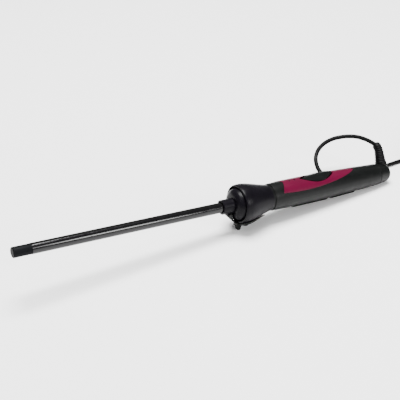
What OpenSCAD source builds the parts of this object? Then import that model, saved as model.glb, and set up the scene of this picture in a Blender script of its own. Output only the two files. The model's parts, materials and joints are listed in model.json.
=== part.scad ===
// Slim curling wand with a cool tip, a fold-out rest, a rocker switch and a swivel cord.
// Pieces are drawn along their own axis: x runs from the tip to the tail, z is up.
// place() then tilts the wand onto its rest and its tail, with the table at z = 0.

/* [Barrel] */
// Outer diameter of the heated barrel
barrel_d = 9; // [8:0.5:11]
// Wall of the barrel tube
barrel_wall = 0.6; // [0.5:0.1:0.8]
// Length from the tip to the front face of the collar
barrel_reach = 184; // [140:1:230]
// Length of the cool tip that shows
tip_len = 15; // [10:1:25]
// Diameter of the ceramic heater rod
heater_d = 5; // [4:0.5:6]

/* [Front cap] */
// Wall of the collar round the barrel
collar_wall = 1.2; // [1:0.1:2]
// Dark gap between the barrel and the collar
collar_gap = 0.6; // [0.4:0.1:1]
// Length of the collar
collar_len = 11; // [9:0.5:18]
// Diameter of the domed cap
cap_d = 28; // [26:0.5:32]
// Width of the groove between the cap and the bell
groove_w = 1.5; // [0.5:0.1:1.8]

/* [Bell] */
// Widest diameter of the bell
bell_d = 33.8; // [32:0.2:38]
// Length of the bell
bell_len = 31.5; // [30:0.5:42]
// Wall of the bell
bell_wall = 1.8; // [1.4:0.1:2.2]

/* [Handle] */
// Widest diameter of the handle
handle_d = 24.8; // [24:0.2:30]
// Diameter where the handle meets the bell
neck_d = 23.2; // [22.4:0.2:24]
// Diameter at the tail end
tail_d = 20; // [19:0.2:22]
// Length of the handle behind the bell
handle_len = 124; // [110:0.5:150]
// Wall of the handle shells
handle_wall = 2.4; // [2.2:0.1:2.6]
// How far the grip pads stand proud
pad_t = 0.75; // [0.4:0.05:1.2]

/* [Insert] */
// Length of the coloured insert
insert_len = 79.8; // [70:0.1:88]
// Half width of the insert, seen from above
insert_w = 10.5; // [9.8:0.1:10.9]
// How far the insert's front corners reach ahead of its middle
insert_sweep = 4.4; // [3:0.2:7]
// Thickness of the insert
insert_t = 1.5; // [1.2:0.1:1.6]

/* [Switch] */
// Length of the rocker
rocker_len = 33; // [28:0.2:35]
// Width of the rocker
rocker_w = 13.2; // [11:0.2:13.6]
// Length of the opening that the rocker sinks into
opening_len = 38.2; // [36:0.2:40]
// Width of that opening
opening_w = 14.6; // [14:0.2:15]
// Angle between the two positions of the rocker
rocker_swing = 8; // [4:0.5:9]

/* [Stand] */
// Depth of the foot below the axis of the wand
foot_drop = 25.5; // [23:0.5:32]
// Half angle of the flap round the bell
flap_angle = 40; // [25:1:45]
// Thickness of the flap
flap_t = 1.6; // [1.2:0.1:2.2]
// Radius of the hinge pin
pin_r = 1; // [0.8:0.1:1.2]

/* [Swivel] */
// Length of the swivel cap
swivel_len = 15; // [14.5:0.5:18]
// Radius of the swivel shaft
shaft_r = 3; // [2.6:0.1:3.4]
// Lean of the strain relief from upright
relief_lean = 28; // [15:1:40]

/* [Cord] */
// Diameter of the cord
cord_d = 4; // [3.6:0.1:4.4]
// Radius of a plug pin
plug_pin_r = 2; // [2:0.05:2.4]
// Distance between the plug pins
plug_spacing = 18.6; // [17:0.1:19]

/* [Hidden] */
$fn = 48;

fit = 0.05;          // radial clearance of a seated or running fit
seam = 0.2;          // clearance round an inlaid piece

black = [0.05, 0.05, 0.055];
soft_black = [0.08, 0.08, 0.085];
raspberry = [0.42, 0.02, 0.09];
brass_tone = [0.7, 0.55, 0.25];
steel_tone = [0.62, 0.63, 0.65];

// Radii and stations along the axis, from the tip
barrel_r = barrel_d / 2;
bore_r = barrel_r - barrel_wall;
tip_r = barrel_r - 0.2;
seat_r = barrel_r - 0.2;             // barrel where it is turned down for its seats
collar_bore = barrel_r + collar_gap;
collar_r = collar_bore + collar_wall;
cap_r = cap_d / 2;
bell_r = bell_d / 2;
handle_r = handle_d / 2;
neck_r = neck_d / 2;
tail_r = tail_d / 2;
spigot_r = neck_r - bell_wall - fit;

collar_s = barrel_reach;
dome_s = collar_s + collar_len;
dome_depth = 6.8;
rim_s = dome_s + dome_depth;         // edge of the dome
bell_s = dome_s + 5.2;               // front lip of the bell
step_s = rim_s + 3.4;                // step inside the bell that the cap seats on
skirt_s = step_s + 4.2;              // back edge of the cap
handle_s = bell_s + bell_len;
tail_s = handle_s + handle_len;
swivel_gap = 0.5;
swivel_s = tail_s + swivel_gap;
end_s = swivel_s + swivel_len;

// The wand rests on the foot of its stand and on the end of the handle
foot_s = dome_s + 9.6;
pitch = atan2(foot_drop - tail_r, tail_s - foot_s);
tip_edge = 0.5;
end_round = 6;
end_r = tail_r - 1.4;                // swivel cap where its rounded end starts
x_low = -(tip_r - tip_edge) * sin(pitch);
x_high = (end_s - end_round) * cos(pitch) + (end_r - end_round) * sin(pitch) + end_round;
x_mid = (x_low + x_high) / 2;
lift = foot_s * sin(pitch) + foot_drop * cos(pitch);

// A point of the wand's own frame, in the frame of the table
function placed(p) = [p[0] * cos(pitch) + p[2] * sin(pitch) - x_mid,
    p[1],
    -p[0] * sin(pitch) + p[2] * cos(pitch) + lift];

module place() {
    translate([-x_mid, 0, lift]) rotate([0, pitch, 0]) children();
}

// Points of a cubic curve, first point left out when skip is 1
function bez(a, b, c, d, n, skip = 0) = [for (i = [skip : n]) let (t = i / n, u = 1 - t)
    u * u * u * a + 3 * u * u * t * b + 3 * u * t * t * c + t * t * t * d];

// Outlines hold [radius, station] pairs and turn round the x axis
module turned(points) {
    rotate([0, 90, 0]) rotate_extrude() polygon(points);
}

// Part of a turned ring, half_angle each side of straight down
module turned_below(points, half_angle) {
    rotate([0, 90, 0]) rotate([0, 0, -half_angle])
        rotate_extrude(angle = 2 * half_angle) polygon(points);
}

module rod(r, s0, s1, y = 0, z = 0) {
    translate([s0, y, z]) rotate([0, 90, 0]) cylinder(r = r, h = s1 - s0);
}

module pipe(r_out, r_in, s0, s1) {
    difference() {
        rod(r_out, s0, s1);
        rod(r_in, s0 - 1, s1 + 1);
    }
}

// ---- Barrel ----
tube_end = step_s + 9;
tip_plug = 6;

module barrel_tube() {
    color(black) place() turned([[bore_r, tip_len], [barrel_r, tip_len], [barrel_r, collar_s],
        [seat_r, collar_s], [seat_r, tube_end], [bore_r, tube_end]]);
}

module cool_tip() {
    color(soft_black) place() turned([[0, 0], [tip_r - tip_edge, 0], [tip_r, tip_edge],
        [tip_r, tip_len], [bore_r - fit, tip_len], [bore_r - fit, tip_len + tip_plug],
        [0, tip_len + tip_plug]]);
}

heater_r = heater_d / 2;
heater_s = tip_len + tip_plug + 3;
heater_end = step_s;
spacer_len = 6;

module heater_rod() {
    color("white") place() rod(heater_r, heater_s, heater_end);
}

module rod_spacers() {
    spacer_pitch = (heater_end - heater_s - 2 * spacer_len) / 2;
    color("tan") place() for (i = [0 : 2])
        pipe(bore_r - fit, heater_r + fit, heater_s + 4 + i * spacer_pitch - i,
            heater_s + 4 + spacer_len + i * spacer_pitch - i);
}

// ---- Holder that clamps the barrel inside the bell ----
holder_head_r = 2.3;
holder_screw_y = cap_r - bell_wall - holder_head_r - 0.3;
screw_r = 1.25;
holder_s = step_s + 0.2;
holder_flange = 3;
holder_r = cap_r - bell_wall - 0.2;

module barrel_holder() {
    hub_r = holder_screw_y - holder_head_r - 0.4;
    color("dimgray") place() difference() {
        union() {
            rod(holder_r, holder_s, holder_s + holder_flange);
            rod(hub_r, holder_s, tube_end - 0.5);
        }
        rod(seat_r + fit, holder_s - 1, tube_end + 1);
        for (y = [-holder_screw_y, holder_screw_y])
            rod(screw_r + fit, holder_s - 1, holder_s + holder_flange + 1, y);
    }
}

module holder_screws() {
    head_s = holder_s + holder_flange;
    color(steel_tone) place() for (y = [-holder_screw_y, holder_screw_y]) {
        rod(screw_r, holder_s - 4.5, head_s, y);
        rod(holder_head_r, head_s, head_s + 1.6, y);
    }
}

// ---- Front cap: collar, dome, groove and the lug of the stand's hinge ----
lug_w = 3.8;
ear_r = 2;
pin_s = collar_s + 8.6;
pin_z = -(collar_r + ear_r + 0.3);
ear_w = 1.7;
ear_gap = 0.3;

module front_cap() {
    dome = bez([collar_r, dome_s], [collar_r + 3.4, dome_s - 0.4], [cap_r - 0.3, rim_s - 5.1],
        [cap_r, rim_s], 10);
    inside = bez([cap_r - bell_wall, rim_s + 1.4], [cap_r - 2.2, rim_s - 2.6],
        [collar_r + 3, dome_s + 2.6], [collar_r + 1.4, dome_s + 3.4], 8);
    color(black) place() difference() {
        union() {
            turned(concat([[collar_bore, collar_s], [collar_r - 0.4, collar_s],
                [collar_r, collar_s + 0.4]], dome,
                [[cap_r, skirt_s], [cap_r - bell_wall, skirt_s]], inside,
                [[collar_r + 1.4, step_s], [seat_r + fit, step_s],
                [seat_r + fit, dome_s + 3.4], [collar_bore, dome_s + 2.8]]));
            for (y = [-holder_screw_y, holder_screw_y])
                rod(2.4, dome_s + 4.6, holder_s, y);
            translate([0, lug_w / 2, 0]) rotate([90, 0, 0]) linear_extrude(lug_w) {
                translate([pin_s, pin_z]) circle(r = ear_r);
                translate([pin_s - ear_r, pin_z]) square([2 * ear_r, -pin_z - collar_r + 0.9]);
            }
        }
        for (y = [-holder_screw_y, holder_screw_y])
            rod(screw_r, holder_s - 4.5, holder_s + 1, y);
        translate([pin_s, lug_w, pin_z]) rotate([90, 0, 0]) cylinder(r = pin_r, h = 2 * lug_w);
    }
}

// ---- Bell ----
lip_r = cap_r + groove_w;
lip_t = 0.5;

// Outside of the bell from its widest ring to the handle, moved out by grow
function bell_curve(grow, n) = bez([bell_r + grow, bell_s + 5.6], [bell_r - 0.1 + grow, bell_s + 11.8],
    [neck_r + 1.4 + grow, handle_s - 8.6], [neck_r + grow, handle_s], n);

module bell_housing() {
    lip = bez([lip_r + lip_t, bell_s], [lip_r + lip_t + 0.7, bell_s + 0.2],
        [bell_r - 0.02, bell_s + 2.2], [bell_r, bell_s + 5.6], 6);
    inside = bez([spigot_r + fit, handle_s], [spigot_r + 1.5, handle_s - 8],
        [cap_r, skirt_s + 5.4], [cap_r + fit, skirt_s], 10);
    color(black) place() turned(concat([[lip_r, bell_s]], lip,
        [for (i = [1 : 16]) bell_curve(0, 16)[i]], inside,
        [[cap_r + fit, step_s], [lip_r, step_s]]));
}

// ---- Handle ----
wide_s = handle_s + 30;
handle_curve = concat(bez([neck_r, handle_s], [neck_r + 0.8, handle_s + 4],
    [handle_r, wide_s - 13], [handle_r, wide_s], 10),
    bez([handle_r, wide_s], [handle_r, wide_s + 38], [tail_r + 1.3, tail_s - 30],
    [tail_r, tail_s], 14, 1));

// Solid handle, moved out by grow
module handle_solid(grow, back = 0) {
    turned(concat([[0, handle_s]], [for (p = handle_curve) [p[0] + grow, p[1]]], [[0, tail_s]]));
}

insert_s = handle_s + 15;           // middle of the insert's front edge
rocker_s = insert_s + 36.9;          // pivot of the rocker, in the middle of its opening
rocker_lag = 1.3;                    // how far its button lies behind the pivot
rocker_pivot = 6.6;                  // height of its pivot above the axis
lamp_s = [insert_s + 7.1, insert_s + 12.7];
lamp_r = 0.9;

// Outline of the insert seen from above, moved out by grow
module insert_outline(grow) {
    front = insert_s - grow;
    rear = insert_s + insert_len + grow;
    // The corners are sharp, so they move out further than the edges do
    corner_s = insert_s - insert_sweep;
    corner = [corner_s - 1.5 * grow, insert_w - 0.65 + grow];
    half = concat(
        bez([front, 0], [front - 0.9, 3.4 - 0.2 * grow], [front - 3.4, 7.5 - 0.4 * grow], corner, 6),
        bez(corner, [corner_s + 35.5, insert_w + 1.7 + grow], [rear - 6.5, insert_w - 1.5 + grow],
            [rear, 0], 14, 1));
    polygon(concat(half, [for (i = [len(half) - 2 : -1 : 1]) [half[i][0], -half[i][1]]]));
}

// Pointed oval of a given length and width round a station
module lens(len, wide, middle) {
    arc_r = (len * len + wide * wide) / (4 * wide);
    translate([middle, 0]) intersection() {
        translate([0, arc_r - wide / 2]) circle(r = arc_r, $fn = 96);
        translate([0, -arc_r + wide / 2]) circle(r = arc_r, $fn = 96);
    }
}

module rocker_opening() {
    translate([0, 0, 4]) linear_extrude(handle_r) lens(opening_len, opening_w, rocker_s);
}

front_post = [handle_s + 11, neck_r * 0.52];
rear_post = [tail_s - 27.5, (tail_r + 1.2) * 0.48];
post_places = [for (p = [front_post, rear_post]) for (side = [-1, 1]) [p[0], side * p[1]]];
post_r = 2.9;
pilot_depth = 4.5;
head_r = 2.1;
head_z = -tail_r + 3.2;              // under face of the screw heads' seats

module posts(r) {
    for (p = post_places) translate([p[0], p[1], -handle_r]) cylinder(r = r, h = 2 * handle_r);
}

bearing_s = tail_s - 7;
bearing_len = 3.4;

// Shell blank with its posts, its neck in the bell and its bearing web
module shell_blank() {
    difference() {
        union() {
            difference() {
                handle_solid(0);
                handle_solid(-handle_wall);
                rod(handle_r, handle_s - 1, handle_s + 2);
            }
            intersection() {
                handle_solid(-handle_wall / 2);
                union() {
                    posts(post_r);
                    rod(handle_r, bearing_s, bearing_s + bearing_len);
                    rod(handle_r, tail_s - 1.8, tail_s);
                }
            }
            pipe(spigot_r, spigot_r - 2, handle_s - 9, handle_s + 2);
            pipe(neck_r - 0.3, spigot_r - 2, handle_s, handle_s + 2);
        }
        rod(shaft_r + fit, bearing_s - 1, tail_s + 1);
    }
}

module half_space(side) {
    s0 = handle_s - 20;
    translate([s0, -handle_d, side > 0 ? 0 : -2 * handle_d])
        cube([end_s - s0, 2 * handle_d, 2 * handle_d]);
}

module upper_shell() {
    color(black) place() difference() {
        intersection() {
            shell_blank();
            half_space(1);
        }
        difference() {
            linear_extrude(2 * handle_r) insert_outline(seam);
            handle_solid(-insert_t - 0.1);
        }
        rocker_opening();
        for (s = lamp_s) translate([s, 0, 1]) cylinder(r = lamp_r + fit, h = handle_r);
        for (p = post_places) translate([p[0], p[1], -1]) cylinder(r = screw_r, h = pilot_depth + 1);
    }
}

module lower_shell() {
    color(black) place() difference() {
        intersection() {
            shell_blank();
            half_space(-1);
        }
        for (p = post_places) {
            translate([p[0], p[1], -handle_r]) cylinder(r = screw_r + fit, h = handle_r + 1);
            translate([p[0], p[1], -handle_r - 1]) cylinder(r = head_r + 0.1, h = handle_r + 1 + head_z);
        }
    }
}

module shell_screws() {
    color(steel_tone) place() for (p = post_places) translate([p[0], p[1], 0]) {
        translate([0, 0, head_z]) cylinder(r = screw_r, h = pilot_depth - head_z);
        difference() {
            translate([0, 0, head_z - 1.5]) cylinder(r = head_r, h = 1.5);
            for (turn = [0, 90]) rotate([0, 0, turn])
                translate([-1.3, -0.25, head_z - 2]) cube([2.6, 0.5, 1.2]);
        }
    }
}

// Raised pads under the handle, ribbed across: [start, end] behind the bell
pad_spans = [[24.5, 62.5], [67.5, 94.5]];
rib_pitch = 2.4;
rib_depth = 0.35;

// Height of the handle's outline at a station
function handle_at(s) = lookup(s, [for (p = handle_curve) [p[1], p[0]]]);

module grip_pad(a, b) {
    ribs = floor((b - a - 4) / rib_pitch);
    low = [for (p = handle_curve) if (p[1] > a && p[1] < b) p];
    top = [for (i = [0 : ribs - 1]) for (k = [[0.1, 0], [0.5, 0], [0.6, 1], [0.9, 1]])
        let (s = a + 2 + (i + k[0]) * rib_pitch)
        [handle_at(s) + pad_t - k[1] * rib_depth, s]];
    turned_below(concat([[handle_at(a), a]], low, [[handle_at(b), b]],
        [[handle_at(b - 1.2) + pad_t, b - 1.2]],
        [for (i = [len(top) - 1 : -1 : 0]) top[i]],
        [[handle_at(a + 1.2) + pad_t, a + 1.2]]), 48);
}

module grip_pads() {
    color(soft_black) place() difference() {
        for (span = pad_spans) grip_pad(handle_s + span[0], handle_s + span[1]);
        for (p = post_places) translate([p[0], p[1], -2 * handle_r])
            cylinder(r = head_r + 0.5, h = handle_r);
    }
}

module insert_panel() {
    color(raspberry) place() difference() {
        intersection() {
            linear_extrude(2 * handle_r) insert_outline(0);
            handle_solid(0.12);
        }
        handle_solid(-insert_t);
        rocker_opening();
        for (s = lamp_s) translate([s, 0, 1]) cylinder(r = lamp_r + fit, h = handle_r);
    }
}

// ---- Board, lamps and switch ----
board_t = 1.6;
board_top = -1.2;
board_s = [insert_s + 5, rocker_s + 38];
board_w = 13.5;

module circuit_board() {
    color("darkgreen") place() translate([board_s[0], -board_w / 2, board_top - board_t])
        cube([board_s[1] - board_s[0], board_w, board_t]);
}

lamp_split = 7.6;                    // height where a lamp meets its window

module lamp_windows() {
    color([0.12, 0.02, 0.04]) place() intersection() {
        for (s = lamp_s) translate([s, 0, lamp_split]) cylinder(r = lamp_r, h = handle_r);
        handle_solid(0.02);
    }
}

module board_lamps() {
    color("white") place() for (s = lamp_s) translate([s, 0, board_top]) {
        cylinder(r = lamp_r + 0.6, h = 1.5);
        cylinder(r = lamp_r - 0.1, h = lamp_split - board_top);
    }
}

cheek_in = 4.2;
cheek_out = 5.4;
switch_len = 20;
switch_top = 5.2;

module switch_body() {
    color("ivory") place() difference() {
        union() {
            translate([rocker_s - switch_len / 2, -cheek_out, board_top])
                cube([switch_len, 2 * cheek_out, switch_top - board_top]);
            for (y = [-cheek_out, cheek_in])
                translate([rocker_s - 2.1, y, switch_top - 0.2])
                    cube([4.2, cheek_out - cheek_in, rocker_pivot + 1.9 - switch_top]);
        }
        translate([rocker_s, 10, rocker_pivot]) rotate([90, 0, 0])
            cylinder(r = 1 + fit, h = 20);
        translate([rocker_s - 4, -cheek_in, rocker_pivot - 3])
            cube([8, 2 * cheek_in, 10]);
    }
}

rocker_low = rocker_pivot + 2.6;     // underside of the rocker's button

module switch_rocker() {
    color(black) place() translate([rocker_s, 0, rocker_pivot])
        rotate([0, -rocker_swing / 2, 0]) translate([-rocker_s, 0, -rocker_pivot]) {
            intersection() {
                translate([0, 0, rocker_low]) linear_extrude(handle_r)
                    lens(rocker_len, rocker_w, rocker_s + rocker_lag);
                handle_solid(0.3);
            }
            translate([rocker_s - 2.4, -cheek_in + 0.3, rocker_pivot - 1.5])
                cube([4.8, 2 * cheek_in - 0.6, rocker_low - rocker_pivot + 1.5]);
            translate([rocker_s, cheek_out - 0.1, rocker_pivot]) rotate([90, 0, 0])
                cylinder(r = 1, h = 2 * cheek_out - 0.2);
        }
}

// ---- Wires and fuse ----
lead_r = 0.6;
wire_r = 0.8;
lead_z = board_top - board_t / 2;

module heater_leads() {
    color("silver") place() for (y = [-1.2, 1.2]) rod(lead_r, heater_end, board_s[0], y, lead_z);
}

module thermal_fuse() {
    color(steel_tone) place() {
        rod(1.5, handle_s + 2.4, handle_s + 12, 0, 3);
        rod(0.4, tube_end + 3, handle_s + 2.4, 0, 3);
    }
}

// ---- Stand ----
flap_gap = 0.9;
flap_s = bell_s + 2.8;
web_half = 3;                        // half width of the web where it joins the flap
foot_half = 1.2;                     // half length of the foot's flat
foot_w = 2.2;                        // half width of the foot's flat

// Height of the table under the wand's axis at a station
function table_z(s) = -foot_drop + (s - foot_s) * tan(pitch);

module stand() {
    ear_out = lug_w / 2 + ear_gap + ear_w;
    web_r = bell_r + flap_gap;
    near = [for (p = bell_curve(flap_gap, 16)) if (p[1] < handle_s - 5.5) p];
    count = len(near);
    far = [for (i = [count - 1 : -1 : 0]) [near[i][0] + flap_t * (1 - 0.65 * i / count), near[i][1]]];
    color(soft_black) place() difference() {
        union() {
            turned_below(concat([[web_r, flap_s]], near, far,
                [[web_r + flap_t + 0.6, flap_s + 2], [web_r + flap_t, flap_s]]), flap_angle);
            translate([pin_s, ear_out, pin_z]) rotate([90, 0, 0])
                cylinder(r = ear_r, h = 2 * ear_out);
            // Web from the hinge to the flap, narrower towards the flap
            intersection() {
                translate([0, ear_out, 0]) rotate([90, 0, 0]) linear_extrude(2 * ear_out)
                    polygon([[pin_s - 1.2, pin_z - 1.6], [pin_s + 1.7, pin_z - 1.1],
                        [bell_s - 1.2, -lip_r - lip_t - 0.4],
                        [flap_s, -web_r - 0.3], [flap_s + 4, -web_r - 0.3],
                        [flap_s + 4, -web_r - flap_t], [flap_s - 1.8, -web_r - flap_t]]);
                translate([0, 0, -foot_drop]) linear_extrude(foot_drop)
                    polygon([[pin_s - 3, -ear_out], [pin_s + 2, -ear_out], [flap_s, -web_half],
                        [flap_s + 5, -web_half], [flap_s + 5, web_half], [flap_s, web_half],
                        [pin_s + 2, ear_out], [pin_s - 3, ear_out]]);
            }
            // Foot, narrower towards the table
            intersection() {
                translate([0, 8, 0]) rotate([90, 0, 0]) linear_extrude(16)
                    polygon([[flap_s - 1.8, -web_r - flap_t], [flap_s - 0.6, -web_r - 0.4],
                        [flap_s + 4, -web_r - 0.4], [flap_s + 3.6, -web_r - flap_t],
                        [foot_s + foot_half, -web_r - flap_t - 2.8],
                        [foot_s + foot_half, table_z(foot_s + foot_half)],
                        [foot_s - foot_half, table_z(foot_s - foot_half)]]);
                translate([flap_s - 5, 0, 0]) rotate([90, 0, 90]) linear_extrude(12)
                    polygon([[-web_half - 1, -web_r + 2], [web_half + 1, -web_r + 2],
                        [web_half, -web_r - flap_t - 0.4], [foot_w, -foot_drop - 1],
                        [-foot_w, -foot_drop - 1], [-web_half, -web_r - flap_t - 0.4]]);
            }
        }
        translate([pin_s, 0, pin_z]) rotate([90, 0, 0])
            cylinder(r = pin_r + fit, h = 20, center = true);
        translate([pin_s, 0, pin_z]) rotate([90, 0, 0])
            cylinder(r = ear_r + 0.4, h = lug_w + 2 * ear_gap, center = true);
        translate([pin_s - 6, -lug_w / 2 - ear_gap, pin_z])
            cube([12, lug_w + 2 * ear_gap, 8]);
    }
}

module stand_pin() {
    half = lug_w / 2 + ear_gap + ear_w;
    color(steel_tone) place() translate([pin_s, half, pin_z]) rotate([90, 0, 0])
        cylinder(r = pin_r, h = 2 * half);
}

// ---- Swivel ----
ring_r = shaft_r + 0.9;
ring_w = 2.2;
ring_s = [bearing_s - 6, bearing_s - 11];
shaft_s = bearing_s - 14;
relief_s = end_s - 6;
relief_seat = tail_r - 2.4;          // radius of the flat that the relief stands on
relief_base = 5.5;
relief_root = 2.6;

module lean() {
    translate([relief_s, 0, 0]) rotate([-relief_lean, 0, 0]) children();
}

module swivel_cap() {
    round_end = [for (a = [0 : 10 : 90]) [end_r - end_round + end_round * cos(a),
        end_s - end_round + end_round * sin(a)]];
    color(black) place() difference() {
        union() {
            turned(concat([[0, swivel_s], [tail_r - 0.6, swivel_s], [tail_r - 0.2, swivel_s + 0.4]],
                round_end, [[0, end_s]]));
            rod(shaft_r, shaft_s, swivel_s + 1);
        }
        rod(1.2, shaft_s - 1, swivel_s + 2);
        lean() translate([0, 0, relief_seat]) cylinder(r = relief_base + fit, h = 8);
        lean() translate([0, 0, 3.5]) cylinder(r = relief_root, h = 8);
    }
}

module slip_rings() {
    color(brass_tone) place() for (s = ring_s) pipe(ring_r, shaft_r, s, s + ring_w);
}

module swivel_clip() {
    color(steel_tone) place() pipe(shaft_r + 1.8, shaft_r, bearing_s - 1.2, bearing_s - 0.3);
}

// Blades that press on the slip rings, each on its own post
blade_t = 0.4;
blade_w = 1.8;
supply_y = [-1.2, 1.2];
supply_z = -(tail_r - handle_wall) + 1.8;

module contact_springs() {
    low = -(tail_r - handle_wall) + 0.7;
    high = -ring_r - fit;
    color(brass_tone) place() for (i = [0, 1])
        translate([ring_s[i] + (ring_w - blade_w) / 2, 0, 0]) {
            translate([0, -3, high - blade_t]) cube([blade_w, 6, blade_t]);
            translate([0, supply_y[i] - blade_t / 2, low]) cube([blade_w, blade_t, high - low]);
        }
}

// Wires from the underside of the board to the posts of the blades
module supply_wires() {
    start = board_s[1] - 4;
    color("saddlebrown") place() for (i = [0, 1]) {
        rod(wire_r, start, ring_s[i] + (ring_w - blade_w) / 2, supply_y[i], supply_z);
        translate([start + 2 * wire_r, supply_y[i], supply_z])
            cylinder(r = 0.75 * wire_r, h = board_top - board_t - supply_z);
    }
}

// ---- Strain relief and cord ----
relief_straight = 20;
relief_bend = 9.5;
relief_end = 76;
relief_tip = 3.9;

// Centre line of the relief in the wand's own frame
function relief_line(n) = concat(
    [for (h = [relief_seat, (relief_seat + relief_straight) / 2, relief_straight])
        [relief_s, h * sin(relief_lean), h * cos(relief_lean)]],
    [for (i = [1 : n]) let (a = relief_lean + (relief_end - relief_lean) * i / n)
        [relief_s, relief_straight * sin(relief_lean) + relief_bend * (cos(relief_lean) - cos(a)),
        relief_straight * cos(relief_lean) + relief_bend * (sin(a) - sin(relief_lean))]]);

relief_points = [for (p = relief_line(5)) placed(p)];
relief_exit = relief_points[len(relief_points) - 1];
relief_aim = unit(relief_exit - relief_points[len(relief_points) - 2]);

function unit(v) = v / norm(v);

// A smooth curve through the points, n steps between two of them
function through(p, n) = [for (i = [0 : len(p) - 2]) for (k = [0 : n - 1])
    let (t = k / n, b = p[i], c = p[i + 1], a = i > 0 ? p[i - 1] : 2 * b - c,
        d = i < len(p) - 2 ? p[i + 2] : 2 * c - b)
    ((2 * b) + (c - a) * t + (2 * a - 5 * b + 4 * c - d) * t * t
        + (3 * b - a - 3 * c + d) * t * t * t) / 2];

// A tube along the points, radius r[i] at each, with flat ends square to first and last
module swept(p, r, first, last, sides = 8) {
    count = len(p);
    ring = [for (i = [0 : count - 1])
        let (t = i == 0 ? first : i == count - 1 ? last : unit(p[i + 1] - p[i - 1]),
            across = unit(cross(t, [0, 0, 1])), up = cross(across, t))
        for (k = [0 : sides - 1]) let (a = 360 * (k + 0.5) / sides)
        p[i] + r[i] * (cos(a) * across + sin(a) * up)];
    walls = [for (i = [0 : count - 2]) for (k = [0 : sides - 1])
        [i * sides + k, i * sides + (k + 1) % sides,
        (i + 1) * sides + (k + 1) % sides, (i + 1) * sides + k]];
    polyhedron(ring, concat([[for (k = [sides - 1 : -1 : 0]) k]], walls,
        [[for (k = [0 : sides - 1]) (count - 1) * sides + k]]), convexity = 10);
}

module strain_relief() {
    count = len(relief_points);
    radii = [for (i = [0 : count - 1]) relief_base + (relief_tip - relief_base) * i / (count - 1)];
    foot = placed([relief_s, sin(relief_lean), cos(relief_lean)]) - placed([relief_s, 0, 0]);
    color(soft_black) {
        swept(relief_points, radii, foot, relief_aim, 16);
        place() lean() translate([0, 0, 3.6]) cylinder(r = relief_root, h = relief_seat - 3.5);
    }
}

cord_r = cord_d / 2;

// Hank: the far part of the lead folded beyond the tail, in line with the wand
hank_run = 80;
hank_lanes = 2;
hank_fold = 12;
hank_layers = 4;
hank_r = hank_fold + hank_lanes * cord_d;
hank_x = relief_exit[0] + 64;
hank_h = hank_layers * cord_d;

// Free lead from the relief: over, down to the table and back behind the handle. Each step holds
// its place along the table from the relief's exit, its place beyond the handle's widest
// radius, and its height as a share of the exit's
lead_steps = [[-5, 10.6, 1.11], [-12, 17.6, 1.18], [-21, 23.6, 1.18], [-31, 28.6, 1.11],
    [-40, 31.1, 0.97], [-48, 29.6, 0.8], [-54, 24.1, 0.63], [-56.5, 16.1, 0.435],
    [-54.5, 8.1, 0.295], [-48.5, 2.1, 0.174], [-39, -0.4, 0.049], [-27, 0.6, 0.01],
    [-13, 1.8, 0.004], [1, 3.6, 0.002], [17, 5.1, 0.002]];
cord_line = concat([relief_exit],
    [for (p = lead_steps) [relief_exit[0] + p[0], handle_r + p[1],
        cord_r + (relief_exit[2] - cord_r) * p[2]]],
    [for (back = [32, 16, 0]) [hank_x - back, hank_r - cord_r, cord_r]]);

module cord_tube() {
    line = concat(through(cord_line, 2), [cord_line[len(cord_line) - 1]]);
    color(black) swept(line, [for (p = line) cord_r], relief_aim, [1, 0, 0]);
}

module cord_hank() {
    color(black) linear_extrude(hank_h) {
        translate([hank_x, 0]) circle(r = hank_r);
        translate([hank_x + hank_run, 0]) circle(r = hank_r);
        translate([hank_x, -hank_r]) square([hank_run, 2 * hank_r]);
    }
}

// Band round the hank; it stays above the table line that the hank lies on
tie_w = 8;
tie_t = 0.8;
tie_x = hank_x + hank_run - 6;

module hank_tie() {
    color(soft_black) for (side = [-1, 1])
        translate([tie_x, side > 0 ? hank_r : -hank_r - tie_t, 0.4])
            cube([tie_w, tie_t, hank_h + tie_t - 0.4]);
    color(soft_black) translate([tie_x, -hank_r, hank_h]) cube([tie_w, 2 * hank_r, tie_t]);
}

// Flat two-pin plug lying on the hank, and the end of the lead that rises to it
plug_t = 14;
plug_len = 35;
plug_w = 34;
plug_y = -hank_r + cord_r + hank_fold;
plug_neck = 9;
plug_z = hank_h + plug_t / 2;
plug_x = hank_x + 6;
pin_len = 19;

fold_low = hank_h + 1.6;
plug_line = concat(
    [for (i = [0 : 4]) [hank_x + 40 - 10 * i, plug_y - hank_fold,
        hank_h - cord_r + (fold_low - hank_h + cord_r) * (1 - cos(45 * i)) / 2]],
    [for (a = [20 : 20 : 180]) [hank_x - hank_fold * sin(a), plug_y - hank_fold * cos(a),
        fold_low + (plug_z - fold_low) * (1 - cos(a)) / 2]],
    [[plug_x, plug_y + hank_fold, plug_z]]);

module plug_lead() {
    color(black) swept(plug_line, [for (p = plug_line) cord_r], [-1, 0, 0], [1, 0, 0]);
}

module plug_body() {
    half = plug_w / 2 - plug_t / 2;
    color(black) translate([plug_x, plug_y + hank_fold, plug_z]) {
        rotate([0, 90, 0]) cylinder(r1 = cord_r + 1.2, r2 = 5, h = plug_neck);
        translate([plug_neck, 0, 0]) rotate([90, 0, 90]) linear_extrude(plug_len - plug_neck) {
            for (side = [-1, 1]) translate([side * half, 0]) circle(r = plug_t / 2);
            translate([-half, -plug_t / 2]) square([2 * half, plug_t]);
        }
    }
}

module plug_pins() {
    color(steel_tone) for (side = [-1, 1])
        translate([plug_x + plug_len, plug_y + hank_fold + side * plug_spacing / 2, plug_z])
            rotate([0, 90, 0]) cylinder(r = plug_pin_r, h = pin_len);
}

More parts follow.
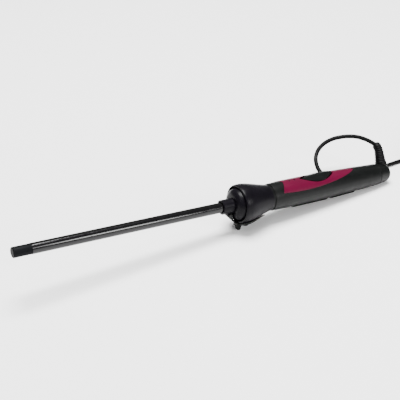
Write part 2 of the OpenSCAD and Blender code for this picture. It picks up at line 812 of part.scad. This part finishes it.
barrel_tube();
cool_tip();
heater_rod();
rod_spacers();
heater_leads();
thermal_fuse();
barrel_holder();
holder_screws();
front_cap();
bell_housing();
upper_shell();
lower_shell();
shell_screws();
grip_pads();
insert_panel();
lamp_windows();
board_lamps();
circuit_board();
switch_body();
switch_rocker();
stand();
stand_pin();
supply_wires();
contact_springs();
swivel_cap();
slip_rings();
swivel_clip();
strain_relief();
cord_tube();
cord_hank();
hank_tie();
plug_lead();
plug_body();
plug_pins();
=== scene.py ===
"""Looks of the slim curling wand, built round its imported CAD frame."""

import json
import math

import bpy
import numpy as np
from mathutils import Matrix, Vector


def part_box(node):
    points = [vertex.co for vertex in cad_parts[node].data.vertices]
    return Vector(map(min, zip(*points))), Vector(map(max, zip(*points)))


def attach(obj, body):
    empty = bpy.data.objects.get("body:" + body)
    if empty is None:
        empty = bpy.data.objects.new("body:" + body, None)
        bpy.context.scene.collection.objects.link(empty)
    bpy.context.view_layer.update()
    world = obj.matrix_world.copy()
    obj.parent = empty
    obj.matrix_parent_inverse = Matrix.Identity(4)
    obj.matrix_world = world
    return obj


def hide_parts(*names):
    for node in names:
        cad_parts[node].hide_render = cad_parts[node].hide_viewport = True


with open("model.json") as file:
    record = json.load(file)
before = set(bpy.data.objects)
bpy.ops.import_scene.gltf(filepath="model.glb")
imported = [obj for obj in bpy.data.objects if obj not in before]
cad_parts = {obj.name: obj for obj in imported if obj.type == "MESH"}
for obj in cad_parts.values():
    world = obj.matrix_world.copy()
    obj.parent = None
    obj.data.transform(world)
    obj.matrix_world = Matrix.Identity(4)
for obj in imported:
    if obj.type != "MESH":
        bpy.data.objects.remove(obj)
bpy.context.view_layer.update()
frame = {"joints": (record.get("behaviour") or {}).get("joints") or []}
MM = 0.001

# ---------------------------------------------------------------- camera

CAMERA_AZIMUTH = math.radians(-30.75)
CAMERA_ELEVATION = math.radians(31.4)
CAMERA_DISTANCE = 0.72
CAMERA_LENS = 78.3
CAMERA_AIM = Vector((-0.0218, 0.0003, 0.0412))      # from the middle of the wand's length
FILM_WIDTH = 36.0


def look_direction(azimuth, elevation):
    """Unit vector along which a camera at that azimuth and elevation looks."""
    return Vector((-math.sin(azimuth) * math.cos(elevation),
                   math.cos(azimuth) * math.cos(elevation),
                   -math.sin(elevation)))


def add_camera():
    """Camera that looks at the wand from its tip's side, in metres."""
    tip_low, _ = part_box("cool_tip")
    _, tail_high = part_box("swivel_cap")
    centre_x = (tip_low[0] + tail_high[0]) / 2
    target = Vector((centre_x, 0, 0)) + CAMERA_AIM
    direction = look_direction(CAMERA_AZIMUTH, CAMERA_ELEVATION)
    data = bpy.data.cameras.new("camera")
    data.lens = CAMERA_LENS
    data.sensor_width = FILM_WIDTH
    camera = bpy.data.objects.new("camera", data)
    camera.location = target - direction * CAMERA_DISTANCE
    camera.rotation_euler = direction.to_track_quat("-Z", "Y").to_euler()
    bpy.context.scene.collection.objects.link(camera)
    bpy.context.scene.camera = camera


add_camera()

# ---------------------------------------------------------------- the wand's own frame

# The swivel gives the wand's axis: x along it from the tip, z up from it.
joints = {joint["name"]: joint for joint in frame["joints"]}
AXIS = Vector(joints["cord_swivel"]["axis"]).normalized()
ON_AXIS = Vector(joints["cord_swivel"]["pos_m"])
RISE = Vector((-AXIS.z, 0.0, AXIS.x))
TIP_S = 363.0                       # station of ON_AXIS behind the tip, in mm


def at(s, y, z):
    """Point at station s mm from the tip, y mm to the side and z mm above the axis."""
    return ON_AXIS + AXIS * ((s - TIP_S) * MM) + Vector((0, y * MM, 0)) + RISE * (z * MM)


# ---------------------------------------------------------------- small helpers

def new_object(name, data, body, node=None, material=None):
    """Links a new piece, rides it on its body and gives it its material."""
    piece = bpy.data.objects.new(name, data)
    bpy.context.scene.collection.objects.link(piece)
    if material is not None:
        piece.data.materials.append(material)
    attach(piece, body)
    if node is not None:
        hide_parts(*([node] if isinstance(node, str) else node))
    return piece


def mesh_from(name, verts, faces):
    """A smooth-shaded mesh."""
    mesh = bpy.data.meshes.new(name)
    mesh.from_pydata([tuple(v) for v in verts], [], faces)
    mesh.validate()
    for polygon in mesh.polygons:
        polygon.use_smooth = True
    mesh.update()
    return mesh


def through(points, steps):
    """A smooth curve through the points, the rule that the cord's CAD tube follows."""
    p = [Vector(q) for q in points]
    out = []
    for i in range(len(p) - 1):
        b, c = p[i], p[i + 1]
        a = p[i - 1] if i > 0 else 2 * b - c
        d = p[i + 2] if i < len(p) - 2 else 2 * c - b
        for k in range(steps):
            t = k / steps
            out.append((2 * b + (c - a) * t + (2 * a - 5 * b + 4 * c - d) * t * t
                        + (3 * b - a - 3 * c + d) * t ** 3) / 2)
    out.append(p[-1])
    return out


# ---------------------------------------------------------------- materials

PATCHES = 70.0                      # scale of the colour's patches
GLOSS_PATCHES = 160.0               # scale of the gloss's patches
RELIEF_DEPTH = 0.0001               # m
EDGE_FROM, EDGE_TO = 0.54, 0.7      # pointiness at which wear begins and is full


def detailed(name, color, roughness, grain=900.0, bump=0.15, mottle=0.25, uneven=0.12, wear=0.5,
             **sockets):
    """A moulded, painted or metal surface with fine grain, uneven gloss and lighter worn edges.

    grain is the scale of the grain's noise; bump how strong its relief is; mottle and uneven say how
    much its colour and roughness wander, as a share of each; wear how much paler its edges are.
    """
    material = bpy.data.materials.new(name)
    material.use_nodes = True
    nodes, links = material.node_tree.nodes, material.node_tree.links
    shader = nodes["Principled BSDF"]
    for socket, value in sockets.items():
        shader.inputs[socket.replace("_", " ")].default_value = value
    place = nodes.new("ShaderNodeTexCoord")

    def noise(scale, detail):
        node = nodes.new("ShaderNodeTexNoise")
        node.inputs["Scale"].default_value = scale
        node.inputs["Detail"].default_value = detail
        links.new(place.outputs["Object"], node.inputs["Vector"])
        return node.outputs["Fac"]

    def spread(value, low, high):
        node = nodes.new("ShaderNodeMapRange")
        node.inputs["From Min"].default_value = 0.3
        node.inputs["From Max"].default_value = 0.7
        node.inputs["To Min"].default_value = low
        node.inputs["To Max"].default_value = high
        links.new(value, node.inputs["Value"])
        return node.outputs["Result"]

    def blend(factor, first, second):
        node = nodes.new("ShaderNodeMix")
        node.data_type = "RGBA"
        links.new(factor, node.inputs["Factor"])
        for socket, tint in ((6, first), (7, second)):
            if isinstance(tint, tuple):
                node.inputs[socket].default_value = (*tint, 1.0)
            else:
                links.new(tint, node.inputs[socket])
        return node.outputs[2]

    dark = tuple(c * (1 - mottle) for c in color)
    light = tuple(c * (1 + mottle) for c in color)
    tone = blend(spread(noise(PATCHES, 3.0), 0.0, 1.0), dark, light)
    edges = nodes.new("ShaderNodeNewGeometry")
    worn = nodes.new("ShaderNodeMapRange")
    worn.inputs["From Min"].default_value = EDGE_FROM
    worn.inputs["From Max"].default_value = EDGE_TO
    worn.inputs["To Max"].default_value = wear
    links.new(edges.outputs["Pointiness"], worn.inputs["Value"])
    paler = tuple(min(1.0, c * 1.6 + 0.004) for c in color)
    tone = blend(worn.outputs["Result"], tone, paler)
    links.new(tone, shader.inputs["Base Color"])
    gloss = spread(noise(GLOSS_PATCHES, 4.0), roughness * (1 - uneven),
                   min(1.0, roughness * (1 + uneven)))
    links.new(gloss, shader.inputs["Roughness"])
    relief = nodes.new("ShaderNodeBump")
    relief.inputs["Strength"].default_value = bump
    relief.inputs["Distance"].default_value = RELIEF_DEPTH
    links.new(noise(grain, 2.0), relief.inputs["Height"])
    links.new(relief.outputs["Normal"], shader.inputs["Normal"])
    return material


BLACK = {
    "barrel": detailed("ceramic_black", (0.0014, 0.0013, 0.0016), 0.16, grain=1500, bump=0.05, mottle=0.2,
                       uneven=0.2, wear=0.1, Specular_IOR_Level=0.3),
    "tip": detailed("tip_matte", (0.0018, 0.0021, 0.0027), 0.55, grain=4200, bump=0.3, wear=0.3,
                    Specular_IOR_Level=0.05),
    "cap": detailed("cap_black", (0.0028, 0.0023, 0.0036), 0.33, grain=3600, bump=0.16, wear=0.3,
                    Specular_IOR_Level=0.07),
    "handle": detailed("handle_black", (0.0017, 0.0020, 0.0019), 0.40, grain=3600, bump=0.22, wear=0.3,
                       Specular_IOR_Level=0.12),
    "grip": detailed("grip_rubber_black", (0.0012, 0.0014, 0.0013), 0.62, grain=5200, bump=0.4, wear=0.3,
                     Specular_IOR_Level=0.06),
    "rocker": detailed("rocker_black", (0.0012, 0.0016, 0.0015), 0.36, grain=4200, bump=0.3, wear=0.3,
                       Specular_IOR_Level=0.09),
    "stand": detailed("stand_black", (0.0026, 0.0030, 0.0026), 0.5, grain=3600, bump=0.25, wear=0.3,
                      Specular_IOR_Level=0.14),
    "cord": detailed("cord_black", (0.0015, 0.0015, 0.0017), 0.5, grain=2600, bump=0.35, mottle=0.3,
                     uneven=0.2, wear=0.2, Specular_IOR_Level=0.08),
    "plug": detailed("plug_black", (0.0022, 0.0022, 0.0024), 0.45, grain=3200, bump=0.3, wear=0.3,
                     Specular_IOR_Level=0.14),
    "tie": detailed("tie_weave_black", (0.004, 0.004, 0.0043), 0.8, grain=1900, bump=0.8, mottle=0.4,
                    wear=0.3, Sheen_Weight=0.1, Specular_IOR_Level=0.1),
    "pin": detailed("pin_black", (0.003, 0.003, 0.0034), 0.4, grain=1200, bump=0.1, wear=0.2,
                    Specular_IOR_Level=0.2),
}
RASPBERRY = detailed("insert_raspberry", (0.060, 0.0008, 0.0135), 0.36, grain=3600, bump=0.14, mottle=0.07,
                     uneven=0.15, wear=0.15, Specular_IOR_Level=0.10)
LENS = detailed("lamp_smoke", (0.012, 0.001, 0.003), 0.22, grain=900, bump=0.05, wear=0.1,
                Specular_IOR_Level=0.3)
ZINC = detailed("screw_zinc", (0.42, 0.43, 0.45), 0.32, grain=2400, bump=0.25, mottle=0.15, Metallic=1.0)
NICKEL = detailed("plug_nickel", (0.62, 0.60, 0.56), 0.2, grain=1500, bump=0.1, mottle=0.08, Metallic=1.0)
SPRING_BRASS = detailed("contact_brass", (0.50, 0.34, 0.11), 0.3, grain=1500, bump=0.15, mottle=0.12,
                        Metallic=1.0)
CERAMIC = detailed("heater_ceramic", (0.62, 0.58, 0.50), 0.7, grain=2600, bump=0.4, mottle=0.08)
INNER = detailed("inner_ivory", (0.42, 0.39, 0.32), 0.5, grain=2600, bump=0.25, mottle=0.06)
BOARD = detailed("board_green", (0.02, 0.11, 0.035), 0.4, grain=1400, bump=0.2, mottle=0.3)
SLEEVING = detailed("wire_brown", (0.12, 0.035, 0.010), 0.5, grain=2400, bump=0.2, mottle=0.1)

NODE_LOOKS = {
    "barrel_tube": BLACK["barrel"], "cool_tip": BLACK["tip"], "heater_rod": CERAMIC,
    "rod_spacers": CERAMIC, "heater_leads": ZINC, "thermal_fuse": ZINC, "barrel_holder": INNER,
    "holder_screws": ZINC, "upper_shell": BLACK["handle"], "lower_shell": BLACK["handle"],
    "shell_screws": ZINC, "grip_pads": BLACK["grip"], "insert_panel": RASPBERRY, "lamp_windows": LENS,
    "board_lamps": INNER, "circuit_board": BOARD, "switch_body": INNER, "stand": BLACK["stand"],
    "stand_pin": BLACK["pin"], "supply_wires": SLEEVING, "contact_springs": SPRING_BRASS,
    "swivel_cap": BLACK["handle"], "slip_rings": SPRING_BRASS, "swivel_clip": ZINC,
    "front_cap": BLACK["cap"], "bell_housing": BLACK["cap"], "switch_rocker": BLACK["rocker"],
}


def dress_nodes():
    """Gives every CAD node that stays in view, or inside, its own material."""
    for node, material in NODE_LOOKS.items():
        piece = bpy.data.objects[node]
        for slot in piece.material_slots:
            slot.material = material


dress_nodes()

# ---------------------------------------------------------------- the cord

CORD_D = 4.0                        # mm, as every size from here on
CORD_R = CORD_D / 2
HANDLE_R = 12.4
RELIEF_S = 365.2                    # station of the relief's root
RELIEF_LEAN = math.radians(28)
RELIEF_ROOT = 3.6                   # height of its foot inside the swivel cap
RELIEF_SEAT = 7.6                   # height at which it leaves the cap
RELIEF_STRAIGHT = 20.0              # height at which it starts to bend
RELIEF_BEND = 9.5                   # radius of the bend
RELIEF_END = math.radians(76)


def relief_point(h):
    """Point h mm up the straight part of the relief, out from the wand's axis."""
    return at(RELIEF_S, h * math.sin(RELIEF_LEAN), h * math.cos(RELIEF_LEAN))


def relief_arc(a):
    """Point of the relief's bend where it leans by a."""
    y = RELIEF_STRAIGHT * math.sin(RELIEF_LEAN) + RELIEF_BEND * (math.cos(RELIEF_LEAN) - math.cos(a))
    z = RELIEF_STRAIGHT * math.cos(RELIEF_LEAN) + RELIEF_BEND * (math.sin(a) - math.sin(RELIEF_LEAN))
    return at(RELIEF_S, y, z)


EXIT = relief_arc(RELIEF_END)

# The lead's free stretch, the same steps as the CAD tube follows: along the table from the exit,
# beyond the handle's widest radius, and height as a share of the exit's
LEAD_STEPS = [(-5, 10.6, 1.11), (-12, 17.6, 1.18), (-21, 23.6, 1.18), (-31, 28.6, 1.11),
              (-40, 31.1, 0.97), (-48, 29.6, 0.8), (-54, 24.1, 0.63), (-56.5, 16.1, 0.435),
              (-54.5, 8.1, 0.295), (-48.5, 2.1, 0.174), (-39, -0.4, 0.049), (-27, 0.6, 0.01),
              (-13, 1.8, 0.004), (1, 3.6, 0.002), (17, 5.1, 0.002)]

HANK_X = EXIT.x / MM + 64
HANK_RUN = 80.0
HANK_FOLD = 12.0
HANK_LAYERS = 4
INNER_LANE = HANK_FOLD + CORD_R
OUTER_LANE = INNER_LANE + CORD_D
HANK_R = OUTER_LANE + CORD_R
HANK_H = HANK_LAYERS * CORD_D


def free_points():
    """Points of the lead from the relief to the hank's first run."""
    rise = EXIT.z / MM - CORD_R
    points = [EXIT / MM]
    for back, side, share in LEAD_STEPS:
        points.append(Vector((EXIT.x / MM + back, HANDLE_R + side, CORD_R + rise * share)))
    for back in (32, 16, 0):
        points.append(Vector((HANK_X - back, OUTER_LANE, CORD_R)))
    return points


def smooth(t):
    """Eases from 0 to 1 with level ends."""
    return t * t * (3 - 2 * t)


RUN_STEPS = 6
FOLD_STEPS = 14


def hank_turn(side, start, end):
    """Half a turn of the hank, a run and the fold after it, in mm.

    start and end are (lane, height); side +1 runs away from the wand, -1 back to it.
    """
    lane0, z0 = start
    lane1, z1 = end
    x0, x1 = (HANK_X, HANK_X + HANK_RUN) if side > 0 else (HANK_X + HANK_RUN, HANK_X)
    points = []
    for k in range(1, RUN_STEPS + 1):
        t = k / RUN_STEPS
        points.append(Vector((x0 + (x1 - x0) * t, side * lane0, z0 + (z1 - z0) * smooth(t))))
    for k in range(1, FOLD_STEPS + 1):
        t = k / FOLD_STEPS
        lane = lane0 + (lane1 - lane0) * smooth(t)
        a = math.pi * t
        points.append(Vector((x1 + side * lane * math.sin(a), side * lane * math.cos(a), z1)))
    return points


def hank_line():
    """The folded turns, bottom layer first: out, in, then up to the next layer."""
    level = [CORD_R + CORD_D * k for k in range(HANK_LAYERS)]
    # Lane and level at the end of each half turn
    order = "O0 O0 I0 I0 I1 O1 O1 O2 I2 I2 I3 O3".split()
    stops = [(OUTER_LANE if stop[0] == "O" else INNER_LANE, level[int(stop[1])]) for stop in order]
    points = []
    for k, (start, end) in enumerate(zip(stops, stops[1:])):
        points += hank_turn(1 if k % 2 == 0 else -1, start, end)
    return points


PLUG_X = HANK_X + 6                 # where the cord enters the plug
PLUG_T = 14.0
PLUG_Z = HANK_H + PLUG_T / 2
PLUG_Y = -OUTER_LANE + 2 * HANK_FOLD
FOLD_LIFT = 1.6                     # the last fold starts this far above the hank


def plug_line():
    """The last run of the lead, back along the hank's top and round to the plug."""
    level = HANK_H - CORD_R
    fold_low = HANK_H + FOLD_LIFT
    points = [Vector((HANK_X + back, -OUTER_LANE, level)) for back in (70, 60, 50)]
    for k in range(5):
        rise = (1 - math.cos(math.radians(45 * k))) / 2
        points.append(Vector((HANK_X + 40 - 10 * k, -OUTER_LANE, level + (fold_low - level) * rise)))
    for k in range(1, 19):
        a = math.radians(10 * k)
        points.append(Vector((HANK_X - HANK_FOLD * math.sin(a), PLUG_Y - HANK_FOLD * (1 + math.cos(a)),
                              fold_low + (PLUG_Z - fold_low) * (1 - math.cos(a)) / 2)))
    points.append(Vector((PLUG_X, PLUG_Y, PLUG_Z)))
    return points


def cord_path():
    """Centre line of the whole lead, in metres; the exit is its first point."""
    points = through(free_points(), 6) + hank_line() + plug_line()
    return [p * MM for p in points]


def add_lead(path):
    """The lead as one round curve."""
    curve = bpy.data.curves.new("mains_lead", "CURVE")
    curve.dimensions = "3D"
    curve.bevel_depth = CORD_R * MM
    curve.bevel_resolution = 5
    curve.use_fill_caps = True
    spline = curve.splines.new("POLY")
    spline.points.add(len(path) - 1)
    for point, place in zip(spline.points, path):
        point.co = (*place, 1.0)
    spline.use_smooth = True
    return new_object("mains_lead", curve, "swivel", ["cord_tube", "cord_hank", "plug_lead"],
                      BLACK["cord"])


lead_path = cord_path()
lead = add_lead(lead_path)

# ---------------------------------------------------------------- lofted pieces

def loft(rings):
    """Verts and faces of a closed skin over rings of equal numbers of points."""
    count = len(rings[0])
    verts = [p for ring in rings for p in ring]
    faces = []
    for i in range(len(rings) - 1):
        for k in range(count):
            n = (k + 1) % count
            faces.append((i * count + k, i * count + n, (i + 1) * count + n, (i + 1) * count + k))
    faces.append(tuple(range(count))[::-1])
    faces.append(tuple((len(rings) - 1) * count + k for k in range(count)))
    return verts, faces


RELIEF_SIDES = 40
RELIEF_SLOTS = 9
RELIEF_BASE_R = 5.5
RELIEF_TIP_R = 3.85
RELIEF_SEAT_R = 2.6                 # inside the swivel cap
SLOT_DEPTH = 0.6
SLOTS_FROM, SLOTS_SPAN = 0.16, 0.68   # shares of the visible length
LIP_SPAN, LIP_LOSS = 0.035, 0.5
FLANK = 0.35                        # the slots stop at two ribs along the relief's flanks


def relief_profile(share, seat):
    """Radius and slot depth at a share of the relief's length; the seat's share lies in the cap."""
    if share < seat:
        return RELIEF_SEAT_R, 0.0
    t = (share - seat) / (1 - seat)
    wave = math.sin(math.pi * RELIEF_SLOTS * min(max((t - SLOTS_FROM) / SLOTS_SPAN, 0), 1)) ** 2
    lip = smooth(max(0.0, (t - 1 + LIP_SPAN) / LIP_SPAN))
    radius = RELIEF_BASE_R + (RELIEF_TIP_R - RELIEF_BASE_R) * t - LIP_LOSS * lip
    return radius, SLOT_DEPTH * smooth(wave)


def add_relief():
    """Tapered strain relief: a smooth root, a flexing stretch of ribs and slots, and a lipped tip."""
    line = [relief_point(h) for h in np.linspace(RELIEF_ROOT, RELIEF_STRAIGHT, 60)]
    line += [relief_arc(a) for a in np.linspace(RELIEF_LEAN, RELIEF_END, 50)[1:]]
    lengths = np.cumsum([0] + [(b - a).length for a, b in zip(line, line[1:])])
    seat = (RELIEF_SEAT - RELIEF_ROOT) * MM / lengths[-1]
    rings = []
    for i, centre in enumerate(line):
        ahead = line[min(i + 1, len(line) - 1)] - line[max(i - 1, 0)]
        ahead.normalize()
        across = ahead.cross(AXIS).normalized()
        up = across.cross(ahead)
        radius, slot_depth = relief_profile(lengths[i] / lengths[-1], seat)
        ring = []
        for k in range(RELIEF_SIDES):
            a = 2 * math.pi * k / RELIEF_SIDES
            flank = smooth(min(1.0, abs(math.cos(a)) / FLANK))
            r = (radius - slot_depth * flank) * MM
            ring.append(centre + (across * math.cos(a) + up * math.sin(a)) * r)
        rings.append(ring)
    verts, faces = loft(rings)
    new_object("relief_sleeve", mesh_from("relief_sleeve", verts, faces), "swivel", "strain_relief",
               BLACK["cord"])


def plug_outline(half_w, half_t, steps=10):
    """Cross-section of the plug's body: a flat stadium with round ends."""
    half = half_w - half_t
    points = []
    for side in (1, -1):
        for k in range(steps + 1):
            a = math.radians(-90 * side + 180 * k / steps)
            points.append((side * half + half_t * math.cos(a), half_t * math.sin(a)))
    return points


PLUG_LEN = 35.0
PLUG_NECK = 9.0                     # length of the ribbed neck
PLUG_HALF_W = 17.0
PLUG_WAIST = 1.5                    # the front is this much narrower each side than the pins' face
NECK_END_R = 5.0
NECK_RIBS = 4
SHOULDER = 3.0                      # length of the rounded shoulder behind the neck
FACE_ROUND = 1.2


def add_plug():
    """Flat two-pin plug: a ribbed neck, a rounded shoulder and a body that widens to the pins."""
    half_t = PLUG_T / 2
    root_r = CORD_R + 1.2
    stations = []                        # distance along the plug, half width, half thickness
    for k in range(19):
        t = k / 18
        rib = 0.45 * math.sin(math.pi * NECK_RIBS * t) ** 2 if t < 0.9 else 0.0
        radius = root_r + (NECK_END_R - root_r) * t - rib
        stations.append((PLUG_NECK * t, radius, radius))
    for k in range(1, 9):
        a = math.radians(90 * k / 8)
        stations.append((PLUG_NECK + SHOULDER * (1 - math.cos(a)),
                         NECK_END_R + (PLUG_HALF_W - PLUG_WAIST - NECK_END_R) * math.sin(a),
                         NECK_END_R + (half_t - NECK_END_R) * math.sin(a)))
    body_s = PLUG_NECK + SHOULDER
    for t in (0.2, 0.4, 0.6, 0.8, 1.0):
        widen = PLUG_HALF_W - PLUG_WAIST + PLUG_WAIST * smooth(t)
        stations.append((body_s + (PLUG_LEN - FACE_ROUND - body_s) * t, widen, half_t))
    for k in range(1, 5):
        a = math.radians(90 * k / 4)
        inset = FACE_ROUND * (1 - math.cos(a))
        stations.append((PLUG_LEN - FACE_ROUND + FACE_ROUND * math.sin(a), PLUG_HALF_W - inset,
                         half_t - inset))
    rings = []
    for along, wide, thick in stations:
        ring = []
        for y, z in plug_outline(max(wide, thick + 0.001), thick):
            ring.append(Vector((PLUG_X + along, PLUG_Y + y, PLUG_Z + z)) * MM)
        rings.append(ring)
    verts, faces = loft(rings)
    new_object("plug_shell", mesh_from("plug_shell", verts, faces), "swivel", "plug_body",
               BLACK["plug"])


PIN_LEN = 19.0
PIN_R = 2.0
PIN_SPACING = 18.6
PIN_SIDES = 32
SLEEVE_LEN = 10.0
METAL_R = PIN_R - 0.14
METAL_ROUND = 1.6


def turned_rings(profile, centre):
    """Rings about the +X axis through centre, from (distance, radius) pairs in mm."""
    rings = []
    for along, radius in profile:
        rings.append([centre + Vector((along, radius * math.cos(2 * math.pi * k / PIN_SIDES),
                                       radius * math.sin(2 * math.pi * k / PIN_SIDES))) * MM
                      for k in range(PIN_SIDES)])
    return rings


def add_plug_pins():
    """Two pins: a black insulating sleeve at each root and a bare end with a rounded tip."""
    face = PLUG_X + PLUG_LEN
    for side, name in ((-1, "low"), (1, "high")):
        root = Vector((face, PLUG_Y + side * PIN_SPACING / 2, PLUG_Z)) * MM
        sleeve = [(-0.5, PIN_R), (SLEEVE_LEN - 0.4, PIN_R), (SLEEVE_LEN, PIN_R - 0.1),
                  (SLEEVE_LEN, METAL_R)]
        round_s = PIN_LEN - METAL_ROUND
        bare = [(SLEEVE_LEN - 0.1, METAL_R), (round_s, METAL_R)]
        bare += [(round_s + METAL_ROUND * math.sin(a), 0.6 + (METAL_R - 0.6) * math.cos(a))
                 for a in np.linspace(0, math.pi / 2, 7)[1:]]
        for part, profile, material in (("sleeve", sleeve, BLACK["plug"]), ("metal", bare, NICKEL)):
            verts, faces = loft(turned_rings(profile, root))
            piece_name = "plug_pin_" + name + "_" + part
            new_object(piece_name, mesh_from(piece_name, verts, faces), "swivel", "plug_pins", material)


TIE_W = 8.0
TIE_T = 0.8
TIE_X = HANK_X + HANK_RUN - 6
TIE_EDGE = 3.0                      # radius of its bends over the hank's edges
TIE_LOW = 0.6                       # height of its lower ends


def add_tie():
    """Woven tie round the hank: a band over its top and down both sides, its edges rolled."""
    half = HANK_R + TIE_T / 2
    top = HANK_H + TIE_T / 2
    outline = [(-half, TIE_LOW), (-half, HANK_H - TIE_EDGE)]    # across the hank, y and z
    for k in range(1, 7):
        a = math.radians(15 * k)
        outline.append((-half + TIE_EDGE * (1 - math.cos(a)), top - TIE_EDGE + TIE_EDGE * math.sin(a)))
    for y in np.linspace(-half + TIE_EDGE + 2, half - TIE_EDGE - 2, 9):
        outline.append((y, top - 0.125 * math.cos(math.pi * y / half) ** 2))
    for k in range(7):
        a = math.radians(90 - 15 * k)
        outline.append((half - TIE_EDGE * (1 - math.cos(a)), top - TIE_EDGE + TIE_EDGE * math.sin(a)))
    outline.append((half, TIE_LOW))
    rings = []
    for i, (y, z) in enumerate(outline):
        y0, z0 = outline[max(i - 1, 0)]
        y1, z1 = outline[min(i + 1, len(outline) - 1)]
        run = math.hypot(y1 - y0, z1 - z0)
        out_y, out_z = -(z1 - z0) / run, (y1 - y0) / run
        ring = []
        for x, lift in ((0, -0.32), (0.5, -0.4), (TIE_W - 0.5, -0.4), (TIE_W, -0.32), (TIE_W, 0.2),
                        (TIE_W - 0.6, 0.4), (TIE_W / 2, 0.3), (0.6, 0.4), (0, 0.2)):
            ring.append(Vector((TIE_X + x, y + out_y * lift, z + out_z * lift)) * MM)
        rings.append(ring)
    verts, faces = loft(rings)
    new_object("hank_band", mesh_from("hank_band", verts, faces), "swivel", "hank_tie", BLACK["tie"])


add_relief()
add_plug()
add_plug_pins()
add_tie()

# ---------------------------------------------------------------- stage and light

FLOOR_HALF = 4                      # m
LIGHT_TARGET = Vector((0.03, 0, 0.02))


def add_floor():
    """A plain pale floor."""
    verts = [(x, y, 0) for x, y in ((-FLOOR_HALF, -FLOOR_HALF), (FLOOR_HALF, -FLOOR_HALF),
                                    (FLOOR_HALF, FLOOR_HALF), (-FLOOR_HALF, FLOOR_HALF))]
    mesh = bpy.data.meshes.new("floor")
    mesh.from_pydata(verts, [], [(0, 1, 2, 3)])
    floor = bpy.data.objects.new("floor", mesh)
    bpy.context.scene.collection.objects.link(floor)
    mesh.materials.append(detailed("floor_white", (0.93, 0.93, 0.93), 0.9, grain=300, bump=0.02,
                                   mottle=0.005, uneven=0.02, wear=0.0, Specular_IOR_Level=0.1))


def add_light(name, azimuth, elevation, distance, size, power):
    """A soft area light that faces the wand's bell from that direction."""
    data = bpy.data.lights.new(name, "AREA")
    data.shape = "RECTANGLE"
    data.size, data.size_y = size
    data.energy = power
    light = bpy.data.objects.new(name, data)
    direction = look_direction(math.radians(azimuth), math.radians(elevation))
    light.location = LIGHT_TARGET - direction * distance
    light.rotation_euler = direction.to_track_quat("-Z", "Y").to_euler()
    bpy.context.scene.collection.objects.link(light)


def add_lights():
    """An even pale surround, a large soft top light and two smaller ones for the highlights."""
    world = bpy.data.worlds.new("studio")
    world.use_nodes = True
    world.node_tree.nodes["Background"].inputs["Color"].default_value = (1, 1, 1, 1)
    world.node_tree.nodes["Background"].inputs["Strength"].default_value = 0.35
    bpy.context.scene.world = world
    add_light("front", 24, 27, 1.4, (0.32, 0.5), 14)
    add_light("left", -50, 55, 1.4, (0.2, 0.6), 4)
    add_light("top", 160, 84, 2.2, (1.2, 1.2), 190)


add_floor()
add_lights()
